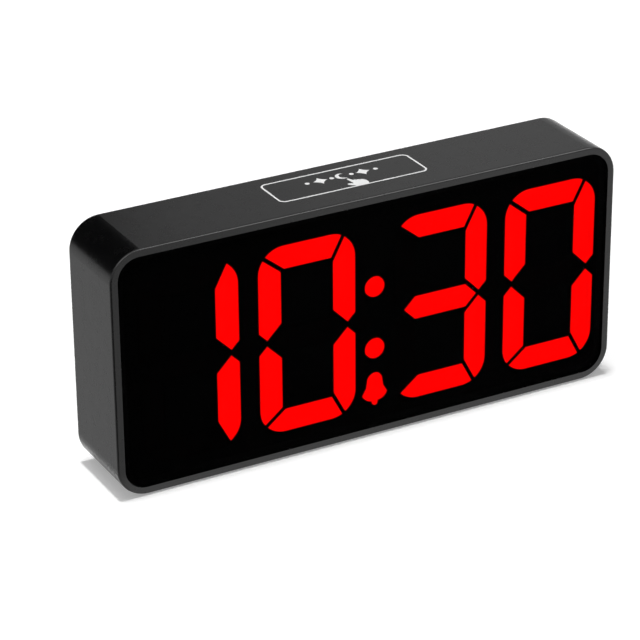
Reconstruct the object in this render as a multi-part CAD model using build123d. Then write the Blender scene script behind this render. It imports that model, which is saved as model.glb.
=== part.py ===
from build123d import *
from math import cos, pi, sin
import os

# Large-digit LED alarm clock. Millimetres, +Z up, front towards -Y, X to the right of the
# display. The origin is under the middle of the clock, on the surface that its feet stand on.

# --- Driving sizes: the display ---------------------------------------------------------------
digit_w = 41.5  # one digit, across the outside of its segments
digit_h = 78.35
stroke = 9.4  # width of a segment
digit_corner_r = 10.7  # outer corners of a digit
mitre_gap = 1.8  # dark line between two segments at a corner
waist_gap = 1.8  # dark line between segments at half height
waist_inset = 3.3  # where the waist lines cross, in from the digit's side
mitre_left = 38.5  # slope of the left corner lines, degrees from level
mitre_right = 62.0
middle_bar_h = 9.5
digit_pitch = 50.15  # within a pair of digits
colon_slot = 17.4  # clear width between the two pairs
colon_dot_r = 4.2
colon_dot_z = 13.2  # above and below the middle of the digits
bell_w = 10.9  # across the brim
bell_h = 14.0  # crown to clapper
bell_crown_r = 3.3
bell_waist_w = 7.4
bell_waist_drop = 6.0  # waist, brim and belly below the crown
bell_brim_drop = 9.0
bell_belly_drop = 12.1
bell_clapper_r = 1.2
bell_sag_out = 4.1  # a point on the curve from brim to belly: out from the middle
bell_sag_drop = 11.0  # and below the crown
bell_drop = 30.9  # centre of the bell below the middle of the digits
display_shift_x = 2.2  # display centre from the housing's centre
display_shift_z = -1.5
lit_segments_by_digit = ("bc", "abcdef", "abcdg", "abcdef")  # shows 10:30

# --- Driving sizes: the housing ---------------------------------------------------------------
side_margin = 9.5  # display to the outside of the housing, left and right
top_margin = 11.625  # the same above and below
depth = 36.8
corner_r = 12.5
wall = 2.4
rim = 3.0  # frame seen round the lens
lens_corner_r = 9.0  # corners of the opening that the lens fills
front_edge_r = 0.8
rear_edge_r = 0.6
least_corner_r = 1.0  # of outlines drawn in from the housing's
ledge_w = 2.2  # shelf that the lens lies on
ledge_t = 2.0
lens_t = 2.0
lens_recess = 0.15
lens_gap = 0.1
rib_h = 1.5  # ribs that the rear cover stops on
rib_t = 1.2
rib_x = 60.0
rib_z = 24.0
foot_r = 4.5
foot_t = 1.2
foot_proud = 0.6
foot_inset_x = 24.0
foot_inset_y = 8.3
foot_gap = 0.1

# --- Driving sizes: light block and display board ---------------------------------------------
lens_air = 0.3  # lens back to light block
block_depth = 10.0
block_gap = 0.3
flange_t = 1.6
well_wall = 1.2
well_draft = 8.0  # degrees; each well narrows towards its LEDs
window_t = 1.0
window_gap = 0.2  # windows stand clear of the drafted wells
plate_gap = 0.4  # flange and display board to the ribs
board_t = 1.6
board_corner_r = 6.0
led_w = 2.8
led_t = 1.4
led_spacing = 7.5

# --- Driving sizes: rear cover, its screws and the battery bay --------------------------------
cover_recess = 1.2
cover_t = 2.5
cover_gap = 0.25
cover_edge_r = 0.4
skirt_depth = 4.0
skirt_t = 1.4
post_r = 3.6
post_floor = 2.0
post_inset_x = 19.85
post_inset_z = 6.3
post_mid_x = 54.0
boss_r = 2.6
screw_r = 1.25
screw_head_r = 2.2
screw_head_t = 1.7
screw_gap = 0.05
screw_flat_r = 1.3  # flat top of the domed head
screw_dome_drop = 0.6
screw_point_l = 1.2
cover_screw_end = 2.0  # tip behind the lens shelf
board_screw_end = 2.0  # tip short of the cover's inside
pilot_floor = 1.0  # left solid at the end of a screw hole
head_gap = 0.3
cell_l = 44.5  # two AAA cells lie side by side
cell_r = 5.25
cell_room = 6.5  # for the springs and plates
cell_play = 0.6
bay_z = 14.5  # lowest inside surface of the bay
bay_depth = 11.4
tub_wall = 1.4
door_t = 1.4
door_lap = 1.8
door_gap = 0.3
door_corner_r = 2.0
tab_w = 6.0
tab_t = 1.4
tab_lap = 1.3
tab_x = 17.0
tab_neck = 1.5
latch_w = 11.0
latch_h = 3.0
latch_slit = 0.8
latch_reach = 7.0
latch_corner_r = 1.5
grip_ridges = 3  # on the latch
grip_drop = 1.5  # first ridge below the door's top edge
grip_pitch = 2.0
grip_l = 5.5
grip_w = 0.6
grip_h = 0.3
contact_t = 0.4
contact_w = 8.0
tail_w = 2.0
tail_gap = 0.1
tail_outs = (4.4, 2.2)  # the lower tail reaches further, so that its lead passes the upper one
spring_wire_r = 0.35
spring_r = 3.0  # at the contact plate
spring_tip_r = 2.1  # at the cell
spring_turns = 3.5
spring_sides = 12  # straight runs in each turn
spring_l = 4.2

# --- Driving sizes: main board and controls ---------------------------------------------------
standoff = 7.7  # main board's rear face to the inside of the cover
main_left = 14.0  # board's left end from the outside of the housing
main_right = 32.0
main_top = 10.6  # board's top edge below the housing's outside top
main_strip_h = 34.0
main_leg_w = 45.0
main_leg_z = 20.0
main_boss_inset = 5.5
row_drop = 18.0  # row of controls below the board's top edge
cap_w = 10.5
cap_h = 6.5
cap_proud = 0.9
cap_edge_r = 0.6
cap_gap = 0.3
cap_lap = 1.0
cap_end_flat = 0.02  # straight left between the rounded ends' quarters
cap_flange_t = 1.2
button_pitch = 14.0
button_start_x = 26.0
button_travel = 0.5
tact_side = 6.0
tact_t = 3.5
plunger_r = 1.7
plunger_proud = 1.1
plunger_sunk = 1.7
plunger_gap = 0.15
stem_r = 2.0
slider_insets = (45.85, 64.85)  # alarm on/off, volume; in from the right-hand side
slider_travel = 2.4
knob_l = 4.4
knob_w = 3.2
knob_below_face = 0.1
groove_pitch = 1.2
groove_w = 0.5
groove_depth = 0.4
can_l = 9.4
can_w = 5.0
can_h = 3.8
can_t = 0.5
slider_foot_l = 4.0
slider_foot_w = 3.0
slider_foot_t = 1.2
neck = 1.4
slide_gap = 0.3
panel_gap_x = 12.0  # sunk panel round the controls, past the outermost ones
panel_h = 22.0
panel_depth = 0.5
panel_corner_r = 4.0
dish_l = 13.0
dish_w = 7.0
dish_depth = 1.2
dish_corner_r = 1.5
wheel_inset = 56.85  # in from the left-hand side
wheel_r = 6.5
wheel_t = 3.0
wheel_flutes = 20
flute_r = 0.6
wheel_proud = 0.9
wheel_gap = 0.4
pot_w = 9.0
pot_t = 2.6
pot_reach = 6.9
pot_shaft_r = 1.5
pot_shaft_gap = 0.05
inlet_inset = 47.85  # in from the left-hand side
jack_z = 38.0
inlet_side = 9.2
inlet_nose_r = 3.9
inlet_bore_r = 2.9
inlet_pin_r = 1.05
inlet_floor = 1.0
inlet_corner_r = 0.8
inlet_pin_sunk = 1.0  # pin below the socket's face
inlet_below_face = 0.2
usb_inset = 27.85
usb_w = 13.1
usb_h = 5.7
usb_sheet = 0.4
usb_below_face = 0.4
usb_tongue_w = 11.1
usb_tongue_t = 1.84
usb_base_t = 1.4
usb_corner_r = 0.6
usb_inner_r = 0.3
usb_base_gap = 0.1
usb_tongue_drop = 0.7  # tongue below the top of its base
usb_tongue_sunk = 1.0  # and behind the shell's edge
port_gap = 0.3
speaker_inset = 43.85  # in from the right-hand side
speaker_z = 31.0
speaker_r = 15.0
speaker_rim_t = 1.0
speaker_rim_w = 2.4  # flat rim, from its outside to the cone
basket_step = 0.8  # the basket's wall starts this far in from the inside of the rim
basket_sheet = 0.8
basket_depth = 4.6
basket_back_r = 8.5
basket_hole_r = 3.0
cone_gap = 0.1
cone_t = 0.4
cone_sunk = 0.3  # edge of the cone below the rim's face
surround_w = 1.2
surround_drop = 0.2
cone_depth = 2.4
coil_r = 4.2
dust_cap_r = 2.6
dust_cap_rise = 0.9
dust_cap_crown = 0.3
magnet_r = 8.0
magnet_t = 3.6
pole_r = 2.9
pole_l = 0.7
speaker_tag_x = 2.0  # the two leads, either side of the middle
grille_r = 11.5
grille_slot = 1.5
grille_pitch = 3.3
grille_slots = 7
collar_t = 1.4
collar_h = 3.0

# --- Driving sizes: snooze sensor, wiring and parts on the boards -----------------------------
sensor_w = 62.0
sensor_d = 14.0
sensor_t = 0.3
sensor_y = 3.0
wire_r = 0.55
wire_bend = 2.0
ribbon_w = 12.0
ribbon_t = 0.8
ribbon_x = 4.0
ribbon_lead_in = 3.0  # straight run of the ribbon out of each plug
plug_w = 14.0
plug_h = 4.0
plug_t = 3.0
upper_plug_z = 22.0  # above the main board's lower edge
lower_plug_z = 4.0
lead_end_z = 4.0  # where leads are soldered, above that edge
driver_chip_x = 39.0
driver_chip_w = 18.0
driver_chip_h = 10.0
driver_chip_t = 1.8
clock_chip_x = 26.0
clock_chip_w = 12.0
clock_chip_t = 1.6
clock_chip_drop = 2.0
capacitor_xs = (-34.0, -24.0)
capacitor_r = 3.0
capacitor_h = 6.4
capacitor_rise = 8.0
sensor_lead_out = 4.0  # how far the foil's lead stands off the main board

# --- Worked out from the sizes above ----------------------------------------------------------
display_w = 4 * digit_w + 2 * (digit_pitch - digit_w) + colon_slot
width = display_w + 2 * side_margin
height = digit_h + 2 * top_margin
mid_z = foot_proud + height / 2
inner_x = width / 2 - wall
inner_low = foot_proud + wall
inner_high = foot_proud + height - wall

front_y = -depth / 2
rear_y = depth / 2
lens_front_y = front_y + lens_recess
lens_back_y = lens_front_y + lens_t
ledge_back_y = lens_back_y + ledge_t
block_front_y = lens_back_y + lens_air
flange_back_y = ledge_back_y + flange_t
block_back_y = block_front_y + block_depth
board_back_y = block_back_y + board_t
cover_face_y = rear_y - cover_recess
cover_in_y = cover_face_y - cover_t
head_seat_y = board_back_y + post_floor
main_rear_y = cover_in_y - standoff
main_front_y = main_rear_y - board_t

display_x = display_shift_x
display_z = mid_z + display_shift_z
pair_x = colon_slot / 2 + digit_w / 2
digit_xs = (-pair_x - digit_pitch, -pair_x, pair_x, pair_x + digit_pitch)

post_x = width / 2 - post_inset_x
post_low = foot_proud + post_inset_z
post_high = foot_proud + height - post_inset_z
post_points = [(x, z) for x in (-post_x, post_x) for z in (post_low, post_high)]
post_points += [(-post_mid_x, post_low), (post_mid_x, post_low)]

main_x0 = -(width / 2 - main_left)
main_x1 = width / 2 - main_right
main_z1 = foot_proud + height - main_top
main_z0 = main_z1 - main_strip_h
row_z = main_z1 - row_drop
slider_xs = [width / 2 - inset for inset in slider_insets]
wheel_x = wheel_inset - width / 2
inlet_x = inlet_inset - width / 2
usb_x = usb_inset - width / 2
speaker_x = width / 2 - speaker_inset
button_names = ("time", "alarm", "hour", "minute", "mode")
button_xs = [button_start_x - i * button_pitch for i in range(len(button_names))]
slider_names = ("alarm", "volume")

bay_l = cell_l + cell_room
bay_h = 4 * cell_r + 2 * cell_play
bay_top = bay_z + bay_h
bay_mid = bay_z + bay_h / 2
door_face_in = cover_face_y - door_t
bay_floor_y = door_face_in - bay_depth
door_z0 = bay_z - door_lap
door_w = bay_l + 2 * door_lap
door_h = bay_h + 2 * door_lap


# --- Helpers ----------------------------------------------------------------------------------
def at_y(y):
    """Work plane at depth y that faces the front: its x is X and its y is Z."""
    return Plane(origin=(0, y, 0), x_dir=(1, 0, 0), z_dir=(0, -1, 0))


def slab(sketch, y_front, y_back):
    """A sketch drawn in X and Z, filled from y_back forward to y_front."""
    return extrude(at_y(y_back) * sketch, amount=y_back - y_front)


def funnel(sketch, y_front, y_back):
    """The same, with sides that draw in towards the back by the wells' draft."""
    front = Plane(origin=(0, y_front, 0), x_dir=(-1, 0, 0), z_dir=(0, 1, 0))
    flipped = mirror(sketch, Plane.YZ)
    return extrude(front * flipped, amount=y_back - y_front, taper=well_draft)


def block(x0, x1, y0, y1, z0, z1):
    """A box between two corners."""
    return Pos((x0 + x1) / 2, (y0 + y1) / 2, (z0 + z1) / 2) * Box(x1 - x0, y1 - y0, z1 - z0)


def outline(inset):
    """The clock's rounded outline, drawn in from its outside by the inset."""
    radius = max(corner_r - inset, least_corner_r)
    return Pos(0, mid_z) * RectangleRounded(width - 2 * inset, height - 2 * inset, radius)


def opening(inset):
    """The rounded opening for the lens, drawn in by the inset."""
    radius = max(lens_corner_r - inset, least_corner_r)
    inset_all = rim + inset
    return Pos(0, mid_z) * RectangleRounded(width - 2 * inset_all, height - 2 * inset_all, radius)


def disc(x, z, r, y_front, y_back):
    """A round bar along Y."""
    return slab(Pos(x, z) * Circle(r), y_front, y_back)


def turned_y(profile, x, z):
    """A closed profile of (radius, y) points turned about the Y axis through x, z."""
    face = make_face(Polyline([(r, y, 0) for r, y in profile], close=True))
    return Pos(x, 0, z) * revolve(face, Axis.Y)


def wire(points, radius, bend):
    """A lead along straight runs joined by equal bends, eight flats round, with flat ends."""
    path = FilletPolyline(*points, radius=bend)
    start = Plane(origin=path @ 0, z_dir=path % 0)
    return sweep(start * RegularPolygon(radius, 8), path=path)


def group(solids):
    """Separate solids that share one node."""
    return Compound(children=list(solids))


# --- The display: one function gives every segment its outline --------------------------------
def corner_line(side, level, slope):
    """The dark line from an inner corner of the digit out through its outer corner."""
    inner_x_d = side * (digit_w / 2 - stroke)
    inner_z_d = level * (digit_h / 2 - stroke)
    reach = 2.2 * stroke
    turn = side * level * slope
    bar = Pos(side * reach / 2, 0) * Rectangle(reach + 2 * mitre_gap, mitre_gap)
    return Pos(inner_x_d, inner_z_d) * Rot(0, 0, turn) * bar


def waist_cut(side):
    """The bow-tie that splits a side of the digit at half height into two points."""
    node = side * (digit_w / 2 - waist_inset)
    rise = waist_gap / 2**0.5
    reach = stroke
    points = [(node, rise), (node + reach, rise + reach), (node + reach, -rise - reach)]
    points += [(node, -rise), (node - reach, -rise - reach), (node - reach, rise + reach)]
    return make_face(Polyline(points, close=True))


def middle_bar():
    """The pointed bar across the middle of a digit."""
    tip = digit_w / 2 - waist_inset - waist_gap / 2**0.5
    half = middle_bar_h / 2
    points = [(-tip, 0), (half - tip, half), (tip - half, half), (tip, 0)]
    points += [(tip - half, -half), (half - tip, -half)]
    return make_face(Polyline(points, close=True))


def digit_segments():
    """The seven segment faces of a digit centred on the origin, by their usual letters."""
    ring = RectangleRounded(digit_w, digit_h, digit_corner_r)
    ring -= Rectangle(digit_w - 2 * stroke, digit_h - 2 * stroke)
    for side, slope in ((-1, mitre_left), (1, mitre_right)):
        ring -= waist_cut(side)
        for level in (-1, 1):
            ring -= corner_line(side, level, slope)
    faces = {"g": middle_bar()}
    for face in ring.faces():
        centre = face.center()
        if abs(centre.X) < stroke:
            letter = "a" if centre.Y > 0 else "d"
        elif centre.X > 0:
            letter = "b" if centre.Y > 0 else "c"
        else:
            letter = "f" if centre.Y > 0 else "e"
        faces[letter] = Sketch() + face
    return faces


def bell_face():
    """The bell symbol, centred on the origin: crown, waist, brim, belly and clapper."""
    top = bell_h / 2
    waist = (bell_waist_w / 2, top - bell_waist_drop)
    brim = (bell_w / 2, top - bell_brim_drop)
    belly_z = top - bell_belly_drop
    belly = (bell_clapper_r, belly_z)
    tip = (bell_clapper_r, bell_clapper_r - top)
    sag = (bell_sag_out, top - bell_sag_drop)
    crown = CenterArc((0, top - bell_crown_r), bell_crown_r, 90, -90)
    right = Curve() + [crown, Polyline(crown @ 1, waist, brim)]
    right += [ThreePointArc(brim, sag, belly), Line(belly, tip)]
    right += [CenterArc((0, bell_clapper_r - top), bell_clapper_r, 0, -90)]
    right += [Line((0, -top), (0, top))]
    half = make_face(right)
    return half + mirror(half, Plane.YZ)


def display_faces(lit):
    """Every segment face of the four digits that is lit, or every one that is dark."""
    segments = digit_segments()
    faces = []
    for digit_x, on in zip(digit_xs, lit_segments_by_digit):
        for letter, face in segments.items():
            if (letter in on) == lit:
                faces.append(Pos(display_x + digit_x, display_z) * face)
    return faces


def colon_faces():
    """The two round dots of the colon."""
    levels = (display_z - colon_dot_z, display_z + colon_dot_z)
    return [Pos(display_x, z) * Circle(colon_dot_r) for z in levels]


def bell_faces():
    """The bell symbol under the colon."""
    return [Pos(display_x, display_z - bell_drop) * bell_face()]


def windows(faces):
    """Milky inserts in the mouths of the wells, flush with the front of the light block."""
    back = block_front_y + window_t
    return group([slab(face, block_front_y, back) for face in faces])


def grown(face, by):
    """The same outline, larger all round, with its corners kept sharp."""
    return offset(face, by, kind=Kind.INTERSECTION)


def light_block():
    """Reflector: a front plate and flange with one thin-walled well behind each window.

    The wells of the segments and dots are tapered, and the small well of the bell is straight.
    """
    faces = display_faces(True) + display_faces(False) + colon_faces()
    mouths = [grown(face, window_gap) for face in faces]
    plate = slab(opening(ledge_w + block_gap), block_front_y, ledge_back_y)
    flange = slab(inner_plate(), ledge_back_y, flange_back_y)
    walls = [funnel(grown(mouth, well_wall), block_front_y, block_back_y) for mouth in mouths]
    wells = [funnel(mouth, block_front_y, block_back_y) for mouth in mouths]
    for face in bell_faces():
        walls.append(slab(offset(face, window_gap + well_wall), block_front_y, block_back_y))
        wells.append(slab(offset(face, window_gap), block_front_y, block_back_y))
    clear_r = boss_r + plate_gap
    notches = [disc(x, z, clear_r, ledge_back_y, block_back_y) for x, z in post_points]
    return plate + [flange] + walls - wells - notches


def led_spots():
    """Places of the LED chips in X and Z: along each segment, and one in each dot."""
    spots = []
    for face in display_faces(True) + display_faces(False):
        box = face.bounding_box()
        centre = box.center()
        span = max(box.size.X, box.size.Y) - 2 * stroke
        count = max(round(span / led_spacing), 1) + 1
        along_x = box.size.X > box.size.Y
        for i in range(count):
            shift = (i - (count - 1) / 2) * span / (count - 1)
            spots.append((centre.X + shift * along_x, centre.Y + shift * (not along_x)))
    spots += [(display_x, display_z + dz) for dz in (-colon_dot_z, colon_dot_z, -bell_drop)]
    return spots


def segment_leds():
    """LED chips soldered to the display board, each inside a well."""
    half = led_w / 2
    y0 = block_back_y - led_t
    chips = [block(x - half, x + half, y0, block_back_y, z - half, z + half) for x, z in led_spots()]
    return group(chips)


# --- Housing and lens -------------------------------------------------------------------------
def inner_plate():
    """Outline of what slides in between the housing's ribs."""
    inset = wall + rib_h + plate_gap
    plate = RectangleRounded(width - 2 * inset, height - 2 * inset, board_corner_r)
    return Pos(0, mid_z) * plate


def foot_spots():
    """Centres of the four feet."""
    x = width / 2 - foot_inset_x
    y = depth / 2 - foot_inset_y
    return [(sx * x, sy * y) for sx in (-1, 1) for sy in (-1, 1)]


def cover_ribs():
    """Ribs along the walls that carry the rear cover and centre the boards."""
    ribs = []
    reach = rib_h + wall / 2
    for x in (-rib_x, rib_x):
        for z in (inner_low + rib_h - reach / 2, inner_high - rib_h + reach / 2):
            ribs.append(slab(Pos(x, z) * Rectangle(rib_t, reach), ledge_back_y, cover_in_y))
    for side in (-1, 1):
        x = side * (inner_x - rib_h + reach / 2)
        for z in (mid_z - rib_z, mid_z + rib_z):
            ribs.append(slab(Pos(x, z) * Rectangle(reach, rib_t), ledge_back_y, cover_in_y))
    return ribs


def screw_bosses():
    """Bosses behind the lens shelf, each tied to its wall by a web."""
    bosses = []
    for x, z in post_points:
        bosses.append(disc(x, z, boss_r, ledge_back_y, block_back_y))
        wall_z = inner_low if z < mid_z else inner_high
        web = Pos(x, (z + wall_z) / 2) * Rectangle(rib_t, abs(z - wall_z))
        bosses.append(slab(web, ledge_back_y, flange_back_y + board_t))
    return bosses


def front_housing():
    """One deep moulding: rim, sides, top and base, open at the back."""
    shell = slab(outline(0), front_y, rear_y)
    shell = fillet(shell.edges().group_by(Axis.Y)[0], front_edge_r)
    shell = fillet(shell.edges().group_by(Axis.Y)[-1], rear_edge_r)
    shell -= slab(opening(0), front_y, lens_back_y)
    shell -= slab(opening(ledge_w), lens_back_y, ledge_back_y)
    shell -= slab(outline(wall), ledge_back_y, rear_y)
    for part in cover_ribs() + screw_bosses():
        shell += part
    pilot = screw_r + screw_gap
    for x, z in post_points:
        shell -= disc(x, z, pilot, ledge_back_y + pilot_floor, block_back_y)
    pocket_t = foot_t - foot_proud
    for x, y in foot_spots():
        pocket = Cylinder(foot_r + foot_gap, pocket_t)
        shell -= Pos(x, y, foot_proud + pocket_t / 2) * pocket
    return shell


def front_lens():
    """Smoked acrylic window, flush in the rim."""
    return slab(opening(lens_gap), lens_front_y, lens_back_y)


def rubber_feet():
    """Four round pads in shallow pockets of the base."""
    feet = []
    for x, y in foot_spots():
        pad = Cylinder(foot_r, foot_t)
        pad = chamfer(pad.edges().group_by(Axis.Z)[0], foot_proud / 2)
        feet.append(Pos(x, y, foot_t / 2) * pad)
    return group(feet)


# --- Boards and what is on them ---------------------------------------------------------------
def display_board():
    """Circuit board that closes the back of the light block; slots clear the screws."""
    board = slab(inner_plate(), block_back_y, board_back_y)
    for x, z in post_points:
        edge_z = z - post_inset_z if z < mid_z else z + post_inset_z
        slot = Pos(x, (z + edge_z) / 2) * Rectangle(2 * (screw_r + head_gap), abs(z - edge_z))
        board -= slab(slot + Pos(x, z) * Circle(screw_r + head_gap), block_back_y, board_back_y)
    return board


def display_chip():
    """Segment driver on the back of the display board."""
    package = Pos(driver_chip_x, mid_z) * Rectangle(driver_chip_w, driver_chip_h)
    return slab(package, board_back_y, board_back_y + driver_chip_t)


def main_board():
    """L-shaped board: a strip behind the controls and a leg behind the sockets."""
    strip = Pos((main_x0 + main_x1) / 2, (main_z0 + main_z1) / 2)
    strip *= Rectangle(main_x1 - main_x0, main_strip_h)
    leg_h = main_z1 - main_leg_z
    leg = Pos(main_x0 + main_leg_w / 2, main_z1 - leg_h / 2) * Rectangle(main_leg_w, leg_h)
    board = slab(strip + leg, main_front_y, main_rear_y)
    for x, z in main_boss_spots():
        board -= disc(x, z, screw_r + head_gap / 2, main_front_y, main_rear_y)
    drop = wheel_centre_y() - main_rear_y
    half = (wheel_r**2 - drop**2) ** 0.5 + wheel_gap
    slot = Pos(wheel_x, row_z) * Rectangle(2 * half, wheel_t + 2 * wheel_gap)
    return board - slab(slot, main_front_y, main_rear_y)


def main_boss_spots():
    """Screw places of the main board."""
    low = main_z0 + main_boss_inset
    high = main_z1 - main_boss_inset
    left = main_x0 + main_boss_inset
    right = main_x1 - main_boss_inset
    leg_x = main_x0 + main_leg_w - main_boss_inset
    leg_z = main_leg_z + main_boss_inset
    return [(left, high), (right, high), (right, low), (left, leg_z), (leg_x, leg_z)]


def main_chip():
    """Clock controller on the front of the main board."""
    package = Pos(clock_chip_x, row_z - clock_chip_drop) * Rectangle(clock_chip_w, clock_chip_w)
    return slab(package, main_front_y - clock_chip_t, main_front_y)


def capacitors():
    """Two smoothing capacitors standing on the front of the main board."""
    z = row_z + capacitor_rise
    y0 = main_front_y - capacitor_h
    return group([disc(x, z, capacitor_r, y0, main_front_y) for x in capacitor_xs])


def ribbon_plugs():
    """The two board plugs that hold the ribbon, one on each board."""
    x0 = ribbon_x - plug_w / 2
    x1 = ribbon_x + plug_w / 2
    upper_z = main_z0 + upper_plug_z
    lower_z = main_z0 + lower_plug_z
    upper = block(x0, x1, board_back_y, board_back_y + plug_t, upper_z, upper_z + plug_h)
    lower = block(x0, x1, main_front_y - plug_t, main_front_y, lower_z, lower_z + plug_h)
    return group([upper, lower])


def ribbon_cable():
    """Flat cable in a slack S between the plugs."""
    upper_z = main_z0 + upper_plug_z
    lower_z = main_z0 + lower_plug_z + plug_h
    y0 = board_back_y + plug_t / 2
    y1 = main_front_y - plug_t / 2
    bend_z = (upper_z + lower_z) / 2
    points = [(y0, upper_z), (y0, bend_z + ribbon_lead_in)]
    points += [(y1, bend_z - ribbon_lead_in), (y1, lower_z)]
    path = FilletPolyline(*[(ribbon_x, y, z) for y, z in points], radius=wire_bend)
    start = Plane(origin=path @ 0, x_dir=(1, 0, 0), z_dir=path % 0)
    return sweep(start * Rectangle(ribbon_w, ribbon_t), path=path)


# --- Rear cover -------------------------------------------------------------------------------
def battery_tub():
    """Closed tray that the cells lie in, moulded on the inside of the cover."""
    half = bay_l / 2 + tub_wall
    y0 = bay_floor_y - tub_wall
    return block(-half, half, y0, cover_in_y, bay_z - tub_wall, bay_top + tub_wall)


def tab_spots():
    """Centres in X of the door's two hinge tabs."""
    return (-tab_x, tab_x)


def battery_opening():
    """Everything cut out for the bay: its inside, the door's seat and the tab slots."""
    cut = block(-bay_l / 2, bay_l / 2, bay_floor_y, rear_y, bay_z, bay_top)
    seat_y = door_face_in - door_gap
    seat = RectangleRounded(door_w + 2 * door_gap, door_h + 2 * door_gap, door_corner_r)
    cut += slab(Pos(0, bay_mid) * seat, seat_y, rear_y)
    notch_w = latch_w + 2 * door_gap
    top = door_z0 + door_h + latch_h + door_gap
    cut += block(-notch_w / 2, notch_w / 2, seat_y, rear_y, bay_top, top)
    tab_y = tab_front_y() - door_gap - tab_lap
    for x in tab_spots():
        half = tab_w / 2 + door_gap
        cut += block(x - half, x + half, tab_y, rear_y, door_z0 - door_gap, bay_z)
        lip_z = door_z0 - tab_lap - door_gap
        cut += block(x - half, x + half, tab_y, cover_in_y, lip_z, bay_z)
    return cut


def tab_front_y():
    """Front face of the door's hinge tabs, which hook behind the cover."""
    return cover_in_y - slide_gap - tab_t


def cover_bosses():
    """Posts, board bosses, collar and skirt on the inside of the cover."""
    parts = [disc(x, z, post_r, board_back_y, cover_in_y) for x, z in post_points]
    for x, z in main_boss_spots():
        parts.append(disc(x, z, boss_r, main_rear_y, cover_in_y))
    inset = wall + rib_h + plate_gap
    ring = outline(inset) - outline(inset + skirt_t)
    parts.append(slab(ring, cover_in_y - skirt_depth, cover_in_y))
    inner = speaker_r + cap_gap
    collar = Circle(inner + collar_t) - Circle(inner)
    parts.append(slab(Pos(speaker_x, speaker_z) * collar, cover_in_y - collar_h, cover_in_y))
    return parts


def grille():
    """Upright slots inside a circle in front of the speaker."""
    slots = Sketch()
    for i in range(grille_slots):
        x = (i - (grille_slots - 1) / 2) * grille_pitch
        length = 2 * (grille_r**2 - x**2) ** 0.5
        slots += Pos(speaker_x + x, speaker_z) * Rot(0, 0, 90) * SlotOverall(length, grille_slot)
    return slab(slots, cover_in_y, cover_face_y)


def cap_outline(grow=0.0):
    """Pill outline of a push button."""
    radius = (cap_h - cap_end_flat) / 2 + grow
    return RectangleRounded(cap_w + 2 * grow, cap_h + 2 * grow, radius)


def control_openings():
    """Sunk panel, dishes and holes in the cover for the controls and the sockets."""
    x0 = wheel_x - panel_gap_x
    x1 = slider_xs[0] + panel_gap_x
    panel = Pos((x0 + x1) / 2, row_z) * RectangleRounded(x1 - x0, panel_h, panel_corner_r)
    cuts = [slab(panel, cover_face_y - panel_depth, cover_face_y)]
    for x in button_xs:
        cuts.append(slab(Pos(x, row_z) * cap_outline(cap_gap), cover_in_y, cover_face_y))
    slot_l = knob_l + slider_travel + 2 * slide_gap
    for x in slider_xs:
        dish = RectangleRounded(dish_l, dish_w, dish_corner_r)
        cuts.append(slab(Pos(x, row_z) * dish, cover_face_y - dish_depth, cover_face_y))
        slot = Rectangle(slot_l, knob_w + 2 * slide_gap)
        cuts.append(slab(Pos(x, row_z) * slot, cover_in_y, cover_face_y))
    rise = cover_in_y - wheel_centre_y()
    half = (wheel_r**2 - rise**2) ** 0.5 + wheel_gap
    wheel_slot = Rectangle(2 * half, wheel_t + 2 * wheel_gap)
    cuts.append(slab(Pos(wheel_x, row_z) * wheel_slot, cover_in_y, cover_face_y))
    cuts.append(disc(inlet_x, jack_z, inlet_nose_r + port_gap, cover_in_y, cover_face_y))
    usb = Rectangle(usb_w + 2 * port_gap, usb_h + 2 * port_gap)
    cuts.append(slab(Pos(usb_x, jack_z) * usb, cover_in_y, cover_face_y))
    return cuts


def rear_cover():
    """Inset back moulding with posts, battery tub, grille and control openings."""
    cover = slab(outline(wall + cover_gap), cover_in_y, cover_face_y)
    cover = fillet(cover.edges().group_by(Axis.Y)[-1], cover_edge_r)
    for part in cover_bosses() + [battery_tub()]:
        cover += part
    cover -= battery_opening()
    cover -= grille()
    for cut in control_openings():
        cover -= cut
    for x, z in post_points:
        cover -= disc(x, z, screw_head_r + head_gap, head_seat_y, cover_face_y)
        cover -= disc(x, z, screw_r + screw_gap, board_back_y, head_seat_y)
    for x, z in main_boss_spots():
        cover -= disc(x, z, screw_r + screw_gap, main_rear_y, cover_in_y - pilot_floor)
    half_w = tail_w / 2 + tail_gap
    half_t = contact_t / 2 + tail_gap
    y = tail_y()
    for x, z in tail_spots():
        cover -= block(x, x + tub_wall, y - half_t, y + half_t, z - half_w, z + half_w)
    return cover


def screw(x, z, seat_y, tip_y):
    """Self-tapping screw along Y: domed head on its seat, plain shank, pointed tip."""
    toward = 1 if seat_y > tip_y else -1
    head_y = seat_y + toward * screw_head_t
    profile = [(0, head_y), (screw_flat_r, head_y)]
    profile += [(screw_head_r, head_y - toward * screw_dome_drop), (screw_head_r, seat_y)]
    profile += [(screw_r, seat_y), (screw_r, tip_y + toward * screw_point_l)]
    profile += [(0, tip_y)]
    return turned_y(profile, x, z)


def cover_screws():
    """Six screws deep in the cover's posts, through the display board into the housing."""
    tip_y = ledge_back_y + cover_screw_end
    return group([screw(x, z, head_seat_y, tip_y) for x, z in post_points])


def board_screws():
    """Screws that hold the main board to the cover's bosses."""
    tip_y = cover_in_y - board_screw_end
    return group([screw(x, z, main_front_y, tip_y) for x, z in main_boss_spots()])


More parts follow.
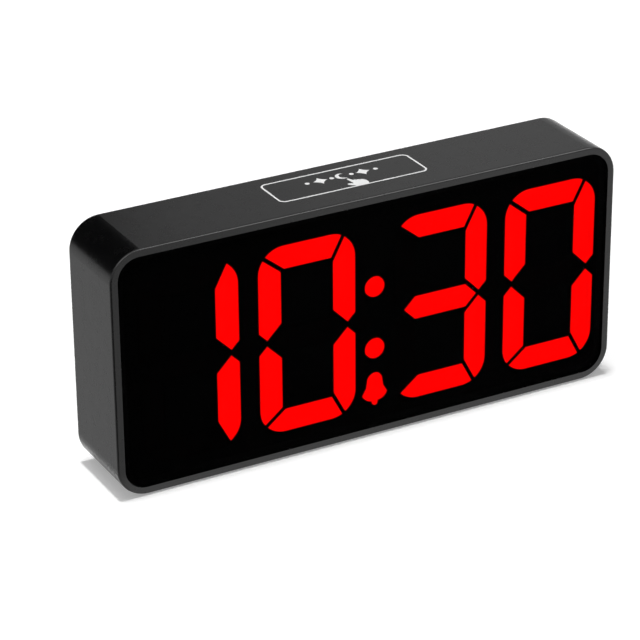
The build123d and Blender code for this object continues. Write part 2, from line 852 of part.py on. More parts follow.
# --- Battery bay ------------------------------------------------------------------------------
def battery_door():
    """Cover of the bay: two hinge tabs below, a springy finger latch above."""
    door = Pos(0, bay_mid) * RectangleRounded(door_w, door_h, door_corner_r)
    latch = RectangleRounded(latch_w, 2 * latch_h, latch_corner_r)
    slit_z = door_z0 + door_h - latch_reach / 2
    for side in (-1, 1):
        x = side * (latch_w - latch_slit) / 2
        door -= Pos(x, slit_z) * Rectangle(latch_slit, latch_reach)
    door += Pos(0, door_z0 + door_h) * latch
    plate = slab(door, door_face_in, cover_face_y)
    tab_y = tab_front_y()
    for x in tab_spots():
        half = tab_w / 2
        neck_z = door_z0 + door_gap
        plate += block(x - half, x + half, tab_y, door_face_in, neck_z, neck_z + tab_neck)
        plate += block(x - half, x + half, tab_y, tab_y + tab_t, door_z0 - tab_lap, neck_z)
    for i in range(grip_ridges):
        z = door_z0 + door_h - grip_drop - i * grip_pitch
        ridge = Pos(0, z) * Rectangle(grip_l, grip_w)
        plate += slab(ridge, cover_face_y, cover_face_y + grip_h)
    return plate


def cell_levels():
    """Heights of the two cells' axes."""
    return (bay_mid - cell_r - cell_play / 2, bay_mid + cell_r + cell_play / 2)


def tail_y():
    """Depth of the contacts' solder tails, at the middle of the cells."""
    return bay_floor_y + cell_r + cell_play / 2


def tail_spots():
    """Where the two solder tails pass through the right-hand wall of the bay."""
    return [(bay_l / 2, z) for z in cell_levels()]


def battery_plates():
    """Sheet contacts: one bridge at the left, two with solder tails at the right."""
    y0 = bay_floor_y + cell_play
    y1 = y0 + contact_w
    half = contact_w / 2
    low, high = cell_levels()
    left = -bay_l / 2
    plates = [block(left, left + contact_t, y0, y1, low - half, high + half)]
    y = tail_y()
    for (x, z), out in zip(tail_spots(), tail_outs):
        plate = block(x - contact_t, x, y0, y1, z - half, z + half)
        x1 = x + tub_wall + out
        tail = block(x, x1, y - contact_t / 2, y + contact_t / 2, z - tail_w / 2, z + tail_w / 2)
        plates.append(plate + tail)
    return group(plates)


def coil_spring(x, z, toward):
    """Conical wire spring that stands on a contact plate and narrows towards the cell."""
    runs = round(spring_turns * spring_sides)
    stand = x + toward * (contact_t + spring_wire_r)
    points = []
    for i in range(runs + 1):
        share = i / runs
        turn = 2 * pi * i / spring_sides
        r = spring_r + (spring_tip_r - spring_r) * share
        along = stand + toward * spring_l * share
        points.append((along, tail_y() + r * cos(turn), z + r * sin(turn)))
    path = Polyline(*points)
    start = Plane(origin=path @ 0, z_dir=path % 0)
    return sweep(start * RegularPolygon(spring_wire_r, 8), path=path, transition=Transition.RIGHT)


def battery_springs():
    """One spring for each cell, at opposite ends."""
    low, high = cell_levels()
    half = bay_l / 2
    return group([coil_spring(-half, low, 1), coil_spring(half, high, -1)])


def battery_leads():
    """Leads from the solder tails up behind the cover to the main board."""
    leads = []
    top_z = main_z0 + lead_end_z
    for (x, z), out in zip(tail_spots(), tail_outs):
        lead_x = x + tub_wall + out - wire_r
        start = (lead_x, tail_y(), z + tail_w / 2)
        points = [start, (lead_x, tail_y(), top_z), (lead_x, main_rear_y, top_z)]
        leads.append(wire(points, wire_r, wire_bend))
    return group(leads)


# --- Controls ---------------------------------------------------------------------------------
def cap_face_y():
    """Outer face of a push button at rest."""
    return cover_face_y + cap_proud


def plunger_top_y():
    """Where a button's stem meets the plunger of its switch."""
    return main_rear_y + tact_t + plunger_proud


def push_button(x):
    """Button cap: pill head, retaining flange behind the cover, and stem."""
    flange_top = cover_in_y - cap_gap
    flange_low = flange_top - cap_flange_t
    head = slab(Pos(x, row_z) * cap_outline(), flange_top, cap_face_y())
    head = fillet(head.edges().group_by(Axis.Y)[-1], cap_edge_r)
    cap = head + slab(Pos(x, row_z) * cap_outline(cap_lap), flange_low, flange_top)
    return cap + disc(x, row_z, stem_r, plunger_top_y(), flange_low)


def plunger(x):
    """Moving pin of a tact switch."""
    low = main_rear_y + tact_t - plunger_sunk
    return disc(x, row_z, plunger_r, low, plunger_top_y())


def tact_bodies():
    """Five tact switch bodies on the main board, bored for their plungers."""
    half = tact_side / 2
    top = main_rear_y + tact_t
    bore_low = top - plunger_sunk - button_travel - cap_gap
    bodies = []
    for x in button_xs:
        body = block(x - half, x + half, main_rear_y, top, row_z - half, row_z + half)
        bodies.append(body - disc(x, row_z, plunger_r + plunger_gap, bore_low, top))
    return group(bodies)


def slider_rest_x(x):
    """A slider rests at the end of its slot towards -X."""
    return x - slider_travel / 2


def slide_knob(x):
    """Slider: foot inside the can, neck through its slot, knob in the cover's dish."""
    knob_x = slider_rest_x(x)
    top = cover_face_y - knob_below_face
    knob_low = main_rear_y + can_h + slide_gap
    half_l = knob_l / 2
    half_w = knob_w / 2
    knob = block(knob_x - half_l, knob_x + half_l, knob_low, top, row_z - half_w, row_z + half_w)
    for i in range(-1, 2):
        x0 = knob_x + i * groove_pitch - groove_w / 2
        knob -= block(x0, x0 + groove_w, top - groove_depth, top, row_z - half_w, row_z + half_w)
    foot_low = main_rear_y + can_t + slide_gap
    foot = Pos(knob_x, foot_low + slider_foot_t / 2, row_z)
    foot *= Box(slider_foot_l, slider_foot_t, slider_foot_w)
    stalk = slab(Pos(knob_x, row_z) * Rectangle(neck, neck), foot_low, knob_low)
    return knob + foot + stalk


def slide_cans():
    """Sheet cans of the two slide switches, each with a slot for its slider."""
    cans = []
    for x in slider_xs:
        outer = slab(Pos(x, row_z) * Rectangle(can_l, can_w), main_rear_y, main_rear_y + can_h)
        inner = Rectangle(can_l - 2 * can_t, can_w - 2 * can_t)
        can = outer - slab(Pos(x, row_z) * inner, main_rear_y + can_t, main_rear_y + can_h - can_t)
        slot = Rectangle(neck + slider_travel + 2 * slide_gap, neck + 2 * slide_gap)
        can -= slab(Pos(x, row_z) * slot, main_rear_y + can_h - can_t, main_rear_y + can_h)
        cans.append(can)
    return group(cans)


def wheel_centre_y():
    """Depth of the dimmer wheel's axis."""
    return cover_face_y + wheel_proud - wheel_r


def dimmer_wheel():
    """Thumbwheel with notched edge and a stub shaft below, axis upright."""
    rim_sketch = Circle(wheel_r)
    rim_sketch -= PolarLocations(wheel_r, wheel_flutes) * RegularPolygon(flute_r, 4)
    wheel = Pos(0, 0, -wheel_t / 2) * extrude(rim_sketch, amount=wheel_t)
    shaft_l = pot_t + wheel_gap
    wheel += Pos(0, 0, -wheel_t / 2 - shaft_l / 2) * Cylinder(pot_shaft_r, shaft_l)
    return Pos(wheel_x, wheel_centre_y(), row_z) * wheel


def dimmer_pot():
    """Potentiometer base on the main board, bored for the wheel's shaft."""
    top = row_z - wheel_t / 2 - wheel_gap
    half = pot_w / 2
    base = block(wheel_x - half, wheel_x + half, main_rear_y, main_rear_y + pot_reach, top - pot_t, top)
    bore = Cylinder(pot_shaft_r + pot_shaft_gap, pot_t)
    return base - Pos(wheel_x, wheel_centre_y(), top - pot_t / 2) * bore


def power_inlet():
    """Barrel socket standing on the main board with its nose in the cover."""
    face_y = cover_face_y - inlet_below_face
    shoulder_y = cover_in_y - port_gap
    square = Pos(inlet_x, jack_z) * RectangleRounded(inlet_side, inlet_side, inlet_corner_r)
    socket = slab(square, main_rear_y, shoulder_y)
    socket += disc(inlet_x, jack_z, inlet_nose_r, shoulder_y, face_y)
    return socket - disc(inlet_x, jack_z, inlet_bore_r, main_rear_y + inlet_floor, face_y)


def inlet_pin():
    """Centre pin of the barrel socket."""
    low = main_rear_y + inlet_floor
    tip = cover_face_y - inlet_below_face - inlet_pin_sunk
    pin = disc(inlet_x, jack_z, inlet_pin_r, low, tip)
    return chamfer(pin.edges().group_by(Axis.Y)[-1], inlet_pin_r / 2)


def usb_shell():
    """Sheet-metal shell of the charging outlet."""
    face_y = cover_face_y - usb_below_face
    outer = RectangleRounded(usb_w, usb_h, usb_corner_r)
    inner = RectangleRounded(usb_w - 2 * usb_sheet, usb_h - 2 * usb_sheet, usb_inner_r)
    return slab(Pos(usb_x, jack_z) * (outer - inner), main_rear_y, face_y)


def usb_tongue():
    """Plastic base and tongue inside the charging outlet."""
    half_w = usb_w / 2 - usb_sheet - usb_base_gap
    half_h = usb_h / 2 - usb_sheet - usb_base_gap
    base_y = main_rear_y + usb_base_t
    base = block(usb_x - half_w, usb_x + half_w, main_rear_y, base_y, jack_z - half_h, jack_z + half_h)
    tongue_z = jack_z + half_h - usb_tongue_drop - usb_tongue_t / 2
    tip = cover_face_y - usb_below_face - usb_tongue_sunk
    tongue = Pos(usb_x, (base_y + tip) / 2, tongue_z)
    return base + tongue * Box(usb_tongue_w, tip - base_y, usb_tongue_t)


# --- Speaker ----------------------------------------------------------------------------------
def speaker_frame():
    """Pressed basket: flat rim on the cover, conical wall and back plate."""
    rim_y = cover_in_y - speaker_rim_t
    back_y = cover_in_y - basket_depth
    rim_r = speaker_r - speaker_rim_w
    plate_y = back_y + basket_sheet
    profile = [(speaker_r, cover_in_y), (speaker_r, rim_y), (rim_r + basket_step, rim_y)]
    profile += [(basket_back_r, back_y), (basket_hole_r, back_y), (basket_hole_r, plate_y)]
    profile += [(basket_back_r - basket_sheet / 2, plate_y), (rim_r, rim_y), (rim_r, cover_in_y)]
    return turned_y(profile, speaker_x, speaker_z)


def speaker_cone():
    """Paper cone with a rolled edge and a domed dust cap, the same thickness all over."""
    edge_y = cover_in_y - cone_sunk
    edge_r = speaker_r - speaker_rim_w - cone_gap
    low_y = cover_in_y - cone_depth
    front = [(edge_r, edge_y), (edge_r - surround_w, edge_y - surround_drop), (coil_r, low_y)]
    front += [(dust_cap_r, low_y + dust_cap_rise), (0, low_y + dust_cap_rise + dust_cap_crown)]
    back = [(r, y - cone_t) for r, y in reversed(front)]
    return turned_y(front + back, speaker_x, speaker_z)


def speaker_magnet():
    """Magnet and pole behind the basket."""
    back_y = cover_in_y - basket_depth
    magnet = disc(speaker_x, speaker_z, magnet_r, back_y - magnet_t, back_y)
    return magnet + disc(speaker_x, speaker_z, pole_r, back_y, back_y + pole_l)


def speaker_leads():
    """Two leads from the speaker's back up to the main board."""
    y = cover_in_y - basket_depth - wire_r
    low = speaker_z + magnet_r
    top = main_z0 + lead_end_z
    leads = []
    for x in (speaker_x - speaker_tag_x, speaker_x + speaker_tag_x):
        points = [(x, y, low), (x, y, top), (x, main_rear_y, top)]
        leads.append(wire(points, wire_r, wire_bend))
    return group(leads)


# --- Snooze sensor ----------------------------------------------------------------------------
def snooze_sensor():
    """Metal foil stuck under the touch zone of the top wall."""
    y0 = sensor_y - sensor_d / 2
    z1 = inner_high
    return block(-sensor_w / 2, sensor_w / 2, y0, y0 + sensor_d, z1 - sensor_t, z1)


def sensor_lead():
    """Lead from the foil down to the main board."""
    x = sensor_w / 4
    z1 = inner_high - sensor_t
    y = main_front_y - sensor_lead_out
    end_z = main_z1 - lead_end_z
    points = [(x, y, z1), (x, y, end_z), (x, main_front_y, end_z)]
    return wire(points, wire_r, wire_bend)


# --- Every node -------------------------------------------------------------------------------
nodes = {
    "front_housing": front_housing,
    "front_lens": front_lens,
    "light_block": light_block,
    "lit_segments": lambda: windows(display_faces(True)),
    "dark_segments": lambda: windows(display_faces(False)),
    "colon_dots": lambda: windows(colon_faces()),
    "bell_symbol": lambda: windows(bell_faces()),
    "segment_leds": segment_leds,
    "display_board": display_board,
    "display_chip": display_chip,
    "main_board": main_board,
    "main_chip": main_chip,
    "capacitors": capacitors,
    "ribbon_plugs": ribbon_plugs,
    "ribbon_cable": ribbon_cable,
    "rear_cover": rear_cover,
    "cover_screws": cover_screws,
    "board_screws": board_screws,
    "battery_door": battery_door,
    "battery_plates": battery_plates,
    "battery_springs": battery_springs,
    "battery_leads": battery_leads,
    "tact_bodies": tact_bodies,
    "slide_cans": slide_cans,
    "dimmer_pot": dimmer_pot,
    "dimmer_wheel": dimmer_wheel,
    "power_inlet": power_inlet,
    "inlet_pin": inlet_pin,
    "usb_shell": usb_shell,
    "usb_tongue": usb_tongue,
    "speaker_frame": speaker_frame,
    "speaker_cone": speaker_cone,
    "speaker_magnet": speaker_magnet,
    "speaker_leads": speaker_leads,
    "snooze_sensor": snooze_sensor,
    "sensor_lead": sensor_lead,
    "rubber_feet": rubber_feet,
}

os.makedirs("parts", exist_ok=True)
for name, make in nodes.items():
    export_step(make(), f"parts/{name}.step")
for name, x in zip(button_names, button_xs):
    export_step(push_button(x), f"parts/{name}_button.step")
    export_step(plunger(x), f"parts/{name}_plunger.step")
for name, x in zip(slider_names, slider_xs):
    export_step(slide_knob(x), f"parts/{name}_slider.step")
print("width", round(width, 2), "height", round(height + foot_proud, 2), "depth", depth)
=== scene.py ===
# %% [markdown]
# # Large-digit LED alarm clock
# A black moulded housing holds a smoked window. Behind the window milky inserts light up red and
# make the digits, a colon and a bell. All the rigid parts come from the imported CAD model, which
# stays exactly where it is. This file gives every one of them its finish, adds the printing on the
# top and on the back, the wire springs and the screws, and sets up a small photo table.
#
# The scene is in metres. The sizes of pieces and prints below are in millimetres and times MM, and
# the floor and the cards are in metres. The clock stands on z = 0 and its front looks towards -Y.

# %% Load the clock
import bpy
import numpy as np
from mathutils import Matrix


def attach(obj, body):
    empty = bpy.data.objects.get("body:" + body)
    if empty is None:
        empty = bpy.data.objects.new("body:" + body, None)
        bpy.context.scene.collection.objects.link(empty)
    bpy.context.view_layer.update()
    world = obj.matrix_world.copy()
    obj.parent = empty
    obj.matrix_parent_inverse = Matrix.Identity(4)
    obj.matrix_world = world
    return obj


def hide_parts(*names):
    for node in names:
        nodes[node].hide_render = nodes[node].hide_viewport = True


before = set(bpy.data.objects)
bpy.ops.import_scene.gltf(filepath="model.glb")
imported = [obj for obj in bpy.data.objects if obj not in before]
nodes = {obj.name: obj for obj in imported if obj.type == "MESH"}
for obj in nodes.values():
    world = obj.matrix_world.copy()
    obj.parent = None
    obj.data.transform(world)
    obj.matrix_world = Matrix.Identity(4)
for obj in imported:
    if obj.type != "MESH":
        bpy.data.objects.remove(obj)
bpy.context.scene.view_settings.view_transform = "Standard"
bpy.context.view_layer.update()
MM = 0.001

# %% [markdown]
# ## How a surface becomes a mesh
# Most added pieces are surfaces: a grid of points, computed as one numpy array, whose neighbours
# are joined by four-sided faces. A grid that closes on itself in one or both directions is a tube
# or a ring. Modelling by hand in Edit Mode would also do, but a formula keeps every size exact
# and can be changed in one place.

# %% Grids and plates
def grid_faces(rows, cols, wrap_rows=False, wrap_cols=False):
    """Four-sided faces between neighbours of a rows x cols grid, joined round where asked."""
    index = np.arange(rows * cols).reshape(rows, cols)
    if wrap_rows:
        index = np.vstack([index, index[:1]])
    if wrap_cols:
        index = np.hstack([index, index[:, :1]])
    corners = (index[:-1, :-1], index[1:, :-1], index[1:, 1:], index[:-1, 1:])
    return np.stack(corners, -1).reshape(-1, 4)


def new_piece(name, points, faces, body, slot, finish, smooth=True):
    """A mesh object at the origin from points in millimetres, which rides on a body."""
    mesh = bpy.data.meshes.new(name)
    mesh.from_pydata((np.asarray(points) * MM).tolist(), [], [list(f) for f in faces])
    mesh.polygons.foreach_set("use_smooth", np.full(len(mesh.polygons), smooth))
    mesh.materials.append(finish)
    piece = bpy.data.objects.new(name, mesh)
    bpy.context.scene.collection.objects.link(piece)
    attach(piece, body)
    print(name, "faces", len(faces))
    return piece


def merged(parts):
    """Several (points, faces) pairs as one, with the face numbers moved up to match."""
    points, faces, start = [], [], 0
    for some_points, some_faces in parts:
        points.append(some_points)
        faces += [[start + i for i in face] for face in some_faces]
        start += len(some_points)
    return np.vstack(points), faces


def stand(thing, axes, place=(0, 0, 0)):
    """Links a camera or lamp, turned to rows right, up and back, at a place in metres."""
    matrix = np.eye(4)
    matrix[:3, :3] = np.transpose(axes)
    matrix[:3, 3] = place
    thing.matrix_world = Matrix(matrix.tolist())
    bpy.context.scene.collection.objects.link(thing)


print("faces of a ring of 4 x 5 points", len(grid_faces(4, 5, wrap_rows=True)))

# %% [markdown]
# ## The camera
# A long lens, far away, looks down on the clock from its left. The camera's own axes are worked
# out from an azimuth, an elevation and a small roll, so the view is exact and nothing is tracked.

# %% Camera
camera_angles = np.radians([-28.335, 25.728, -0.518])  # azimuth, elevation and roll
look_at = np.array([-13.31, 0, 45.88])
camera_distance = 1136.4
focal_length, sensor_width = 164.0925, 36


def view_axes(azimuth, elevation, roll):
    """Rows right, up and back of a camera that looks at the clock from these angles."""
    back = np.array([np.sin(azimuth) * np.cos(elevation),
                     -np.cos(azimuth) * np.cos(elevation), np.sin(elevation)])
    right = np.cross([0, 0, 1], back)
    right /= np.linalg.norm(right)
    up = np.cross(back, right)
    c, s = np.cos(roll), np.sin(roll)
    return np.array([c * right + s * up, -s * right + c * up, back])


def add_camera():
    """The camera at its distance from the point it looks at."""
    axes = view_axes(*camera_angles)
    place = (look_at + camera_distance * axes[2]) * MM
    data = bpy.data.cameras.new("camera")
    data.lens = focal_length
    data.sensor_width = sensor_width
    data.clip_end = 50
    camera = bpy.data.objects.new("camera", data)
    stand(camera, axes, place)
    bpy.context.scene.camera = camera
    return place


print("camera at", add_camera())

# %% [markdown]
# ## Node shorthand
# Materials are small node trees. A few helpers add a node, feed its inputs and join sockets, so
# that each finish below reads like a recipe.

# %% Node helpers
def feed(tree, made, sockets):
    """Gives each named input of a node its value, or a link where the value is an output."""
    for key, value in sockets.items():
        if isinstance(value, bpy.types.NodeSocket):
            tree.links.new(value, made.inputs[key])
        else:
            made.inputs[key].default_value = value


def node(tree, kind, sockets=None, **settings):
    """A node of a kind with its settings, and values or links for its inputs."""
    made = tree.nodes.new("ShaderNode" + kind)
    for key, value in settings.items():
        setattr(made, key, value)
    feed(tree, made, sockets or {})
    return made


def tree_of(name):
    """A new material with its empty tree and the main shader, joined to the output."""
    material = bpy.data.materials.new(name)
    material.use_nodes = True
    tree = material.node_tree
    tree.nodes.clear()
    shader = node(tree, "BsdfPrincipled")
    node(tree, "OutputMaterial", {"Surface": shader.outputs[0]})
    return material, tree, shader


def noise(tree, size_mm, detail=2.0, squeeze=(1, 1, 1)):
    """Noise in the clock's own coordinates: lumps of size_mm, over the squeeze of each axis."""
    place = node(tree, "TexCoord").outputs["Object"]
    scaled = node(tree, "Mapping", {"Vector": place, "Scale": squeeze}).outputs[0]
    return node(tree, "TexNoise", {"Vector": scaled, "Scale": 1 / (size_mm * MM),
                                   "Detail": detail, "Roughness": 0.55}).outputs["Fac"]


noise_range = (0.3, 0.7)  # nearly all of a noise lies in here


def between(tree, amount, low, high):
    """A number pattern stretched so that its usual range runs from low to high."""
    return node(tree, "MapRange", {"Value": amount, "From Min": noise_range[0],
                                   "From Max": noise_range[1], "To Min": low,
                                   "To Max": high}).outputs[0]


def shades(tree, amount, dark, light):
    """A colour pattern that runs from the dark shade to the light one."""
    ramp = node(tree, "ValToRGB", {"Fac": amount})
    for element, position, colour in zip(ramp.color_ramp.elements, noise_range, (dark, light)):
        element.position = position
        element.color = (*colour, 1)
    return ramp.outputs[0]


def bump(tree, height, depth_mm):
    """Normals bent as if the surface rose and fell with a pattern, at most by a depth."""
    return node(tree, "Bump", {"Height": height, "Strength": 1.0,
                               "Distance": depth_mm * MM}).outputs[0]

# %% [markdown]
# ## Moulded plastic
# The housing is black ABS from a spark-eroded mould: a fine even grain, about a quarter of a
# millimetre, that breaks up reflections. The same recipe, with its own colours and grain, serves
# every moulded or rubber part. The shade wanders by 14 percent unless a part asks for more or
# less, and the gloss by 0.03, because skin and flow marks are never quite even.

# %% Moulded plastic
def moulded(name, colour, roughness, grain_mm=0.28, depth_mm=0.012, wander=0.14, specular=0.5):
    """Plastic whose shade, gloss and surface all vary, each at its own scale."""
    material, tree, shader = tree_of(name)
    dark = [c * (1 - wander) for c in colour]
    light = [min(c * (1 + wander), 1) for c in colour]
    tone = shades(tree, noise(tree, 14, 4), dark, light)
    gloss = between(tree, noise(tree, 5, 3), roughness - 0.03, roughness + 0.03)
    feed(tree, shader, {"Base Color": tone, "Roughness": gloss, "Specular IOR Level": specular,
                        "Normal": bump(tree, noise(tree, grain_mm, 2), depth_mm)})
    return material


# name, colour, roughness, then the grain's size and depth in mm, and how far the colour wanders
finish = {
    "housing_black": moulded("housing plastic", (0.002, 0.002, 0.0021), 0.26, 0.28, 0.0015,
                             specular=0.32),
    "button_black": moulded("button plastic", (0.02, 0.02, 0.021), 0.3, 0.2, 0.006),
    "socket_black": moulded("socket nylon", (0.015, 0.015, 0.015), 0.26, 0.5, 0.004),
    "block_black": moulded("light block plastic", (0.003, 0.003, 0.003), 0.6, specular=0.0),
    "chip_black": moulded("chip package", (0.018, 0.018, 0.019), 0.45, 0.15, 0.008),
    "foot_rubber": moulded("foot rubber", (0.03, 0.03, 0.03), 0.7, 0.4, 0.02),
    "plug_white": moulded("plug nylon", (0.78, 0.76, 0.7), 0.35, 0.6, 0.004, 0.05),
    "led_chip": moulded("LED package", (0.8, 0.78, 0.6), 0.3, 0.5, 0.004, 0.08),
    "lead_red": moulded("wire sleeve", (0.42, 0.02, 0.02), 0.32, 0.8, 0.01, 0.1),
    "magnet_grey": moulded("ferrite", (0.05, 0.05, 0.055), 0.5, 0.3, 0.02, 0.2),
}
grained_back = moulded("rear cover plastic", (0.005, 0.005, 0.0052), 0.42, 0.45, 0.02, 0.2, 0.4)
print("moulded finishes", len(finish) + 1)

# %% [markdown]
# ## Smoked window
# The window is 2 mm smoked acrylic. A plain see-through share lets the lit segments through and
# keeps the dark ones hidden. The sheet is coated against reflections, so its gloss is low seen
# from the front and only comes up at a glancing angle.

# %% Smoked window and segments
def smoked_window():
    """Near-black glossy sheet with a constant see-through share and faint polish waves."""
    material, tree, shader = tree_of("smoked acrylic")
    tone = shades(tree, noise(tree, 40, 2), (0.0005, 0.0005, 0.0006), (0.0008, 0.0008, 0.0009))
    gloss = between(tree, noise(tree, 12, 3), 0.04, 0.08)
    feed(tree, shader, {"Base Color": tone, "Roughness": gloss, "Specular IOR Level": 0.005,
                        "Normal": bump(tree, noise(tree, 25, 1), 0.01), "Alpha": 0.35})
    return material


def milky_insert(name, tone, glow=None):
    """Milky plastic insert, lit evenly from behind when it has a glow."""
    material, tree, shader = tree_of(name)
    shade = shades(tree, noise(tree, 3, 3), [0.8 * c for c in tone], tone)
    gloss = between(tree, noise(tree, 2, 2), 0.45, 0.6)
    feed(tree, shader, {"Base Color": shade, "Roughness": gloss, "Specular IOR Level": 0.0})
    if glow:
        feed(tree, shader, {"Emission Color": (*glow, 1), "Emission Strength": 2.4})
    return material


finish["smoked_lens"] = smoked_window()
finish["segment_lit"] = milky_insert("lit segment", (0.25, 0.0, 0.0), (1.0, 0.0006, 0.0004))
finish["segment_dark"] = milky_insert("dark segment", (0.004, 0.0025, 0.0025))
print("window and segments")

# %% [markdown]
# ## Metals
# Screws, springs, contacts and the socket shell are plated metal: brushed or drawn, so their
# scratches run one way and the noise is squeezed across them. A slower noise tarnishes the colour.

# %% Metals
def plated(name, colour, roughness, squeeze=(1, 1, 6), scratch_mm=0.3):
    """Plated metal with slow tarnish and fine scratches, squeezed along one axis."""
    material, tree, shader = tree_of(name)
    tone = shades(tree, noise(tree, 4, 4), [0.82 * c for c in colour], colour)
    scratches = noise(tree, scratch_mm, 3, squeeze)
    gloss = between(tree, scratches, roughness - 0.06, roughness + 0.1)
    feed(tree, shader, {"Base Color": tone, "Roughness": gloss, "Metallic": 1.0,
                        "Normal": bump(tree, scratches, 0.003)})
    return material


metals = {
    "screw_steel": plated("black zinc", (0.16, 0.16, 0.165), 0.34),
    "contact_steel": plated("nickel plate", (0.62, 0.61, 0.58), 0.26),
    "contact_brass": plated("plated brass", (0.72, 0.56, 0.28), 0.28),
    "foil_copper": plated("copper foil", (0.72, 0.42, 0.27), 0.35, (1, 6, 1)),
}
finish.update(metals)
print("metals", len(metals))

# %% [markdown]
# ## Boards, cable and paper
# The boards wear green solder mask over copper tracks, which show as lighter raised lines. The
# flat cable is ridged along its wires, with painted shade in the grooves and lighter painted
# crests, and the speaker's cone is pressed paper.

# %% Boards, cable and paper
def solder_mask():
    """Green mask over tracks: the joints of a brick pattern are the lighter, raised runs."""
    material, tree, shader = tree_of("solder mask")
    place = node(tree, "TexCoord").outputs["Object"]
    tracks = node(tree, "TexBrick", {"Vector": place, "Scale": 160.0, "Mortar Size": 0.03,
                                     "Color1": (0.012, 0.075, 0.03, 1),
                                     "Color2": (0.016, 0.09, 0.035, 1),
                                     "Mortar": (0.03, 0.14, 0.055, 1)})
    feed(tree, shader, {"Base Color": tracks.outputs["Color"],
                        "Roughness": between(tree, noise(tree, 6, 3), 0.28, 0.42),
                        "Normal": bump(tree, tracks.outputs["Fac"], 0.03)})
    return material


def flat_cable():
    """Grey ribbon: a wave across the cable, 2 mm from crest to crest, with painted shade in the
    grooves.
    """
    material, tree, shader = tree_of("ribbon sleeve")
    place = node(tree, "TexCoord").outputs["Object"]
    wave = node(tree, "TexWave", {"Vector": place, "Scale": 157.0, "Distortion": 0.2},
                bands_direction="X")
    ridges_and_groove_shade = wave.outputs["Fac"]
    # Painted shade and highlight: the same wave darkens the grooves and lightens the crests.
    feed(tree, shader, {"Base Color": shades(tree, ridges_and_groove_shade, (0.3, 0.31, 0.33), (0.5, 0.51, 0.53)),
                        "Roughness": between(tree, noise(tree, 3, 2), 0.35, 0.5),
                        "Normal": bump(tree, ridges_and_groove_shade, 0.1)})
    return material


finish["circuit_board"] = solder_mask()
finish["ribbon_grey"] = flat_cable()
finish["speaker_paper"] = moulded("cone paper", (0.03, 0.03, 0.032), 0.85, 0.5, 0.05, 0.3, 0.2)
print("finishes", sorted(finish))

# %% [markdown]
# ## Dress the CAD parts
# Each part of the record names the material slot it takes its finish from. The imported mesh
# already has the right normals, so only its material changes.

# %% Dress the CAD parts
def dress():
    """Gives each node the finish of the slot that its imported material is named after."""
    dressed = 0
    for part in nodes.values():
        for slot in part.material_slots:
            slot.material = finish[slot.material.name.split(".")[0]]
            dressed += 1
    return dressed


print("dressed", dress())
for name in ("lit_segments", "colon_dots", "bell_symbol"):
    nodes[name].visible_diffuse = False
for name in ("rear_cover", "battery_door"):
    nodes[name].material_slots[0].material = grained_back

# %% [markdown]
# ## Printing
# The marks are pad-printed in white ink, a film a few hundredths of a millimetre thick. Each is
# a closed outline given by a formula, filled as a thin plate that sits on the surface. A texture
# would need a picture and would blur close up, and a plate keeps a crisp edge from any distance.

# %% Ink and outlines
ink = moulded("white ink", (0.86, 0.86, 0.86), 0.5, 0.12, 0.004, 0.03, 0.3)
ink_up = 0.04  # ink above the surface
ink_in = 0.02  # and into it, so that no gap shows
ink_step = 0.002  # between marks that cross, so that no two faces share a plane


def turned(points, degrees):
    """Points turned about the origin."""
    a = np.radians(degrees)
    return np.asarray(points) @ np.array([[np.cos(a), np.sin(a)], [-np.sin(a), np.cos(a)]])


def circle(radius, count=48):
    """Radius times cosine and sine of evenly spaced angles."""
    a = np.linspace(0, 2 * np.pi, count, endpoint=False)
    return radius * np.stack([np.cos(a), np.sin(a)], 1)


def star(radius, count=96):
    """Four-pointed star: cosine and sine to the power 2.8, each with its own sign."""
    a = np.linspace(0, 2 * np.pi, count, endpoint=False)
    axes = np.stack([np.cos(a), np.sin(a)], 1)
    return radius * np.sign(axes) * np.abs(axes) ** 2.8


def crescent(radius, count=40):
    """Moon: nearly three quarters of a circle, closed by a shallower arc through its tips."""
    open_half = np.radians(52)
    outer = np.linspace(open_half, 2 * np.pi - open_half, count)
    tip = radius * np.array([np.cos(open_half), np.sin(open_half)])
    shift = 0.42 * radius
    inner_r = np.hypot(tip[0] - shift, tip[1])
    inner_a = np.arctan2(tip[1], tip[0] - shift)
    inner = np.linspace(2 * np.pi - inner_a, inner_a, count)[1:-1]
    back = np.stack([shift + inner_r * np.cos(inner), inner_r * np.sin(inner)], 1)
    return np.vstack([radius * np.stack([np.cos(outer), np.sin(outer)], 1), back])


def rounded(points, passes=2):
    """Corners cut at a quarter and three quarters of each side, again and again (Chaikin)."""
    points = np.asarray(points, float)
    for _ in range(passes):
        after = np.roll(points, -1, 0)
        points = np.stack([0.75 * points + 0.25 * after, 0.25 * points + 0.75 * after], 1)
        points = points.reshape(-1, 2)
    return points


def rounded_box(width, height, radius, count=12):
    """Four quarter circles, one round each corner, joined by straight sides."""
    a = np.linspace(0, np.pi / 2, count)
    corners = []
    for i, (sx, sy) in enumerate(((1, 1), (-1, 1), (-1, -1), (1, -1))):
        centre = np.array([sx * (width / 2 - radius), sy * (height / 2 - radius)])
        angle = a + i * np.pi / 2
        corners.append(centre + radius * np.stack([np.cos(angle), np.sin(angle)], 1))
    return np.vstack(corners)


def back_face(y):
    """Origin, right and up of an upright plane at y, seen from behind."""
    return np.array([0, y, 0]), np.array([-1, 0, 0]), np.array([0, 0, 1])


top_z, rear_y, panel_y, bay_floor_y, lens_back_y = 102.2, 17.2, 16.7, 4.4, -16.25
top_face = (np.array([0, 0, top_z]), np.array([1, 0, 0]), np.array([0, 1, 0]))
rear_face, panel_face, bay_face = back_face(rear_y), back_face(panel_y), back_face(bay_floor_y)
lens_face = (np.array([0, lens_back_y, 0]), np.array([1, 0, 0]), np.array([0, 0, 1]))


def on_face(outline, face, height):
    """Outline points laid on a face of the clock, raised by a height."""
    origin, right, up = face
    flat = outline[:, :1] * right + outline[:, 1:] * up
    return origin + flat + height * np.cross(right, up)


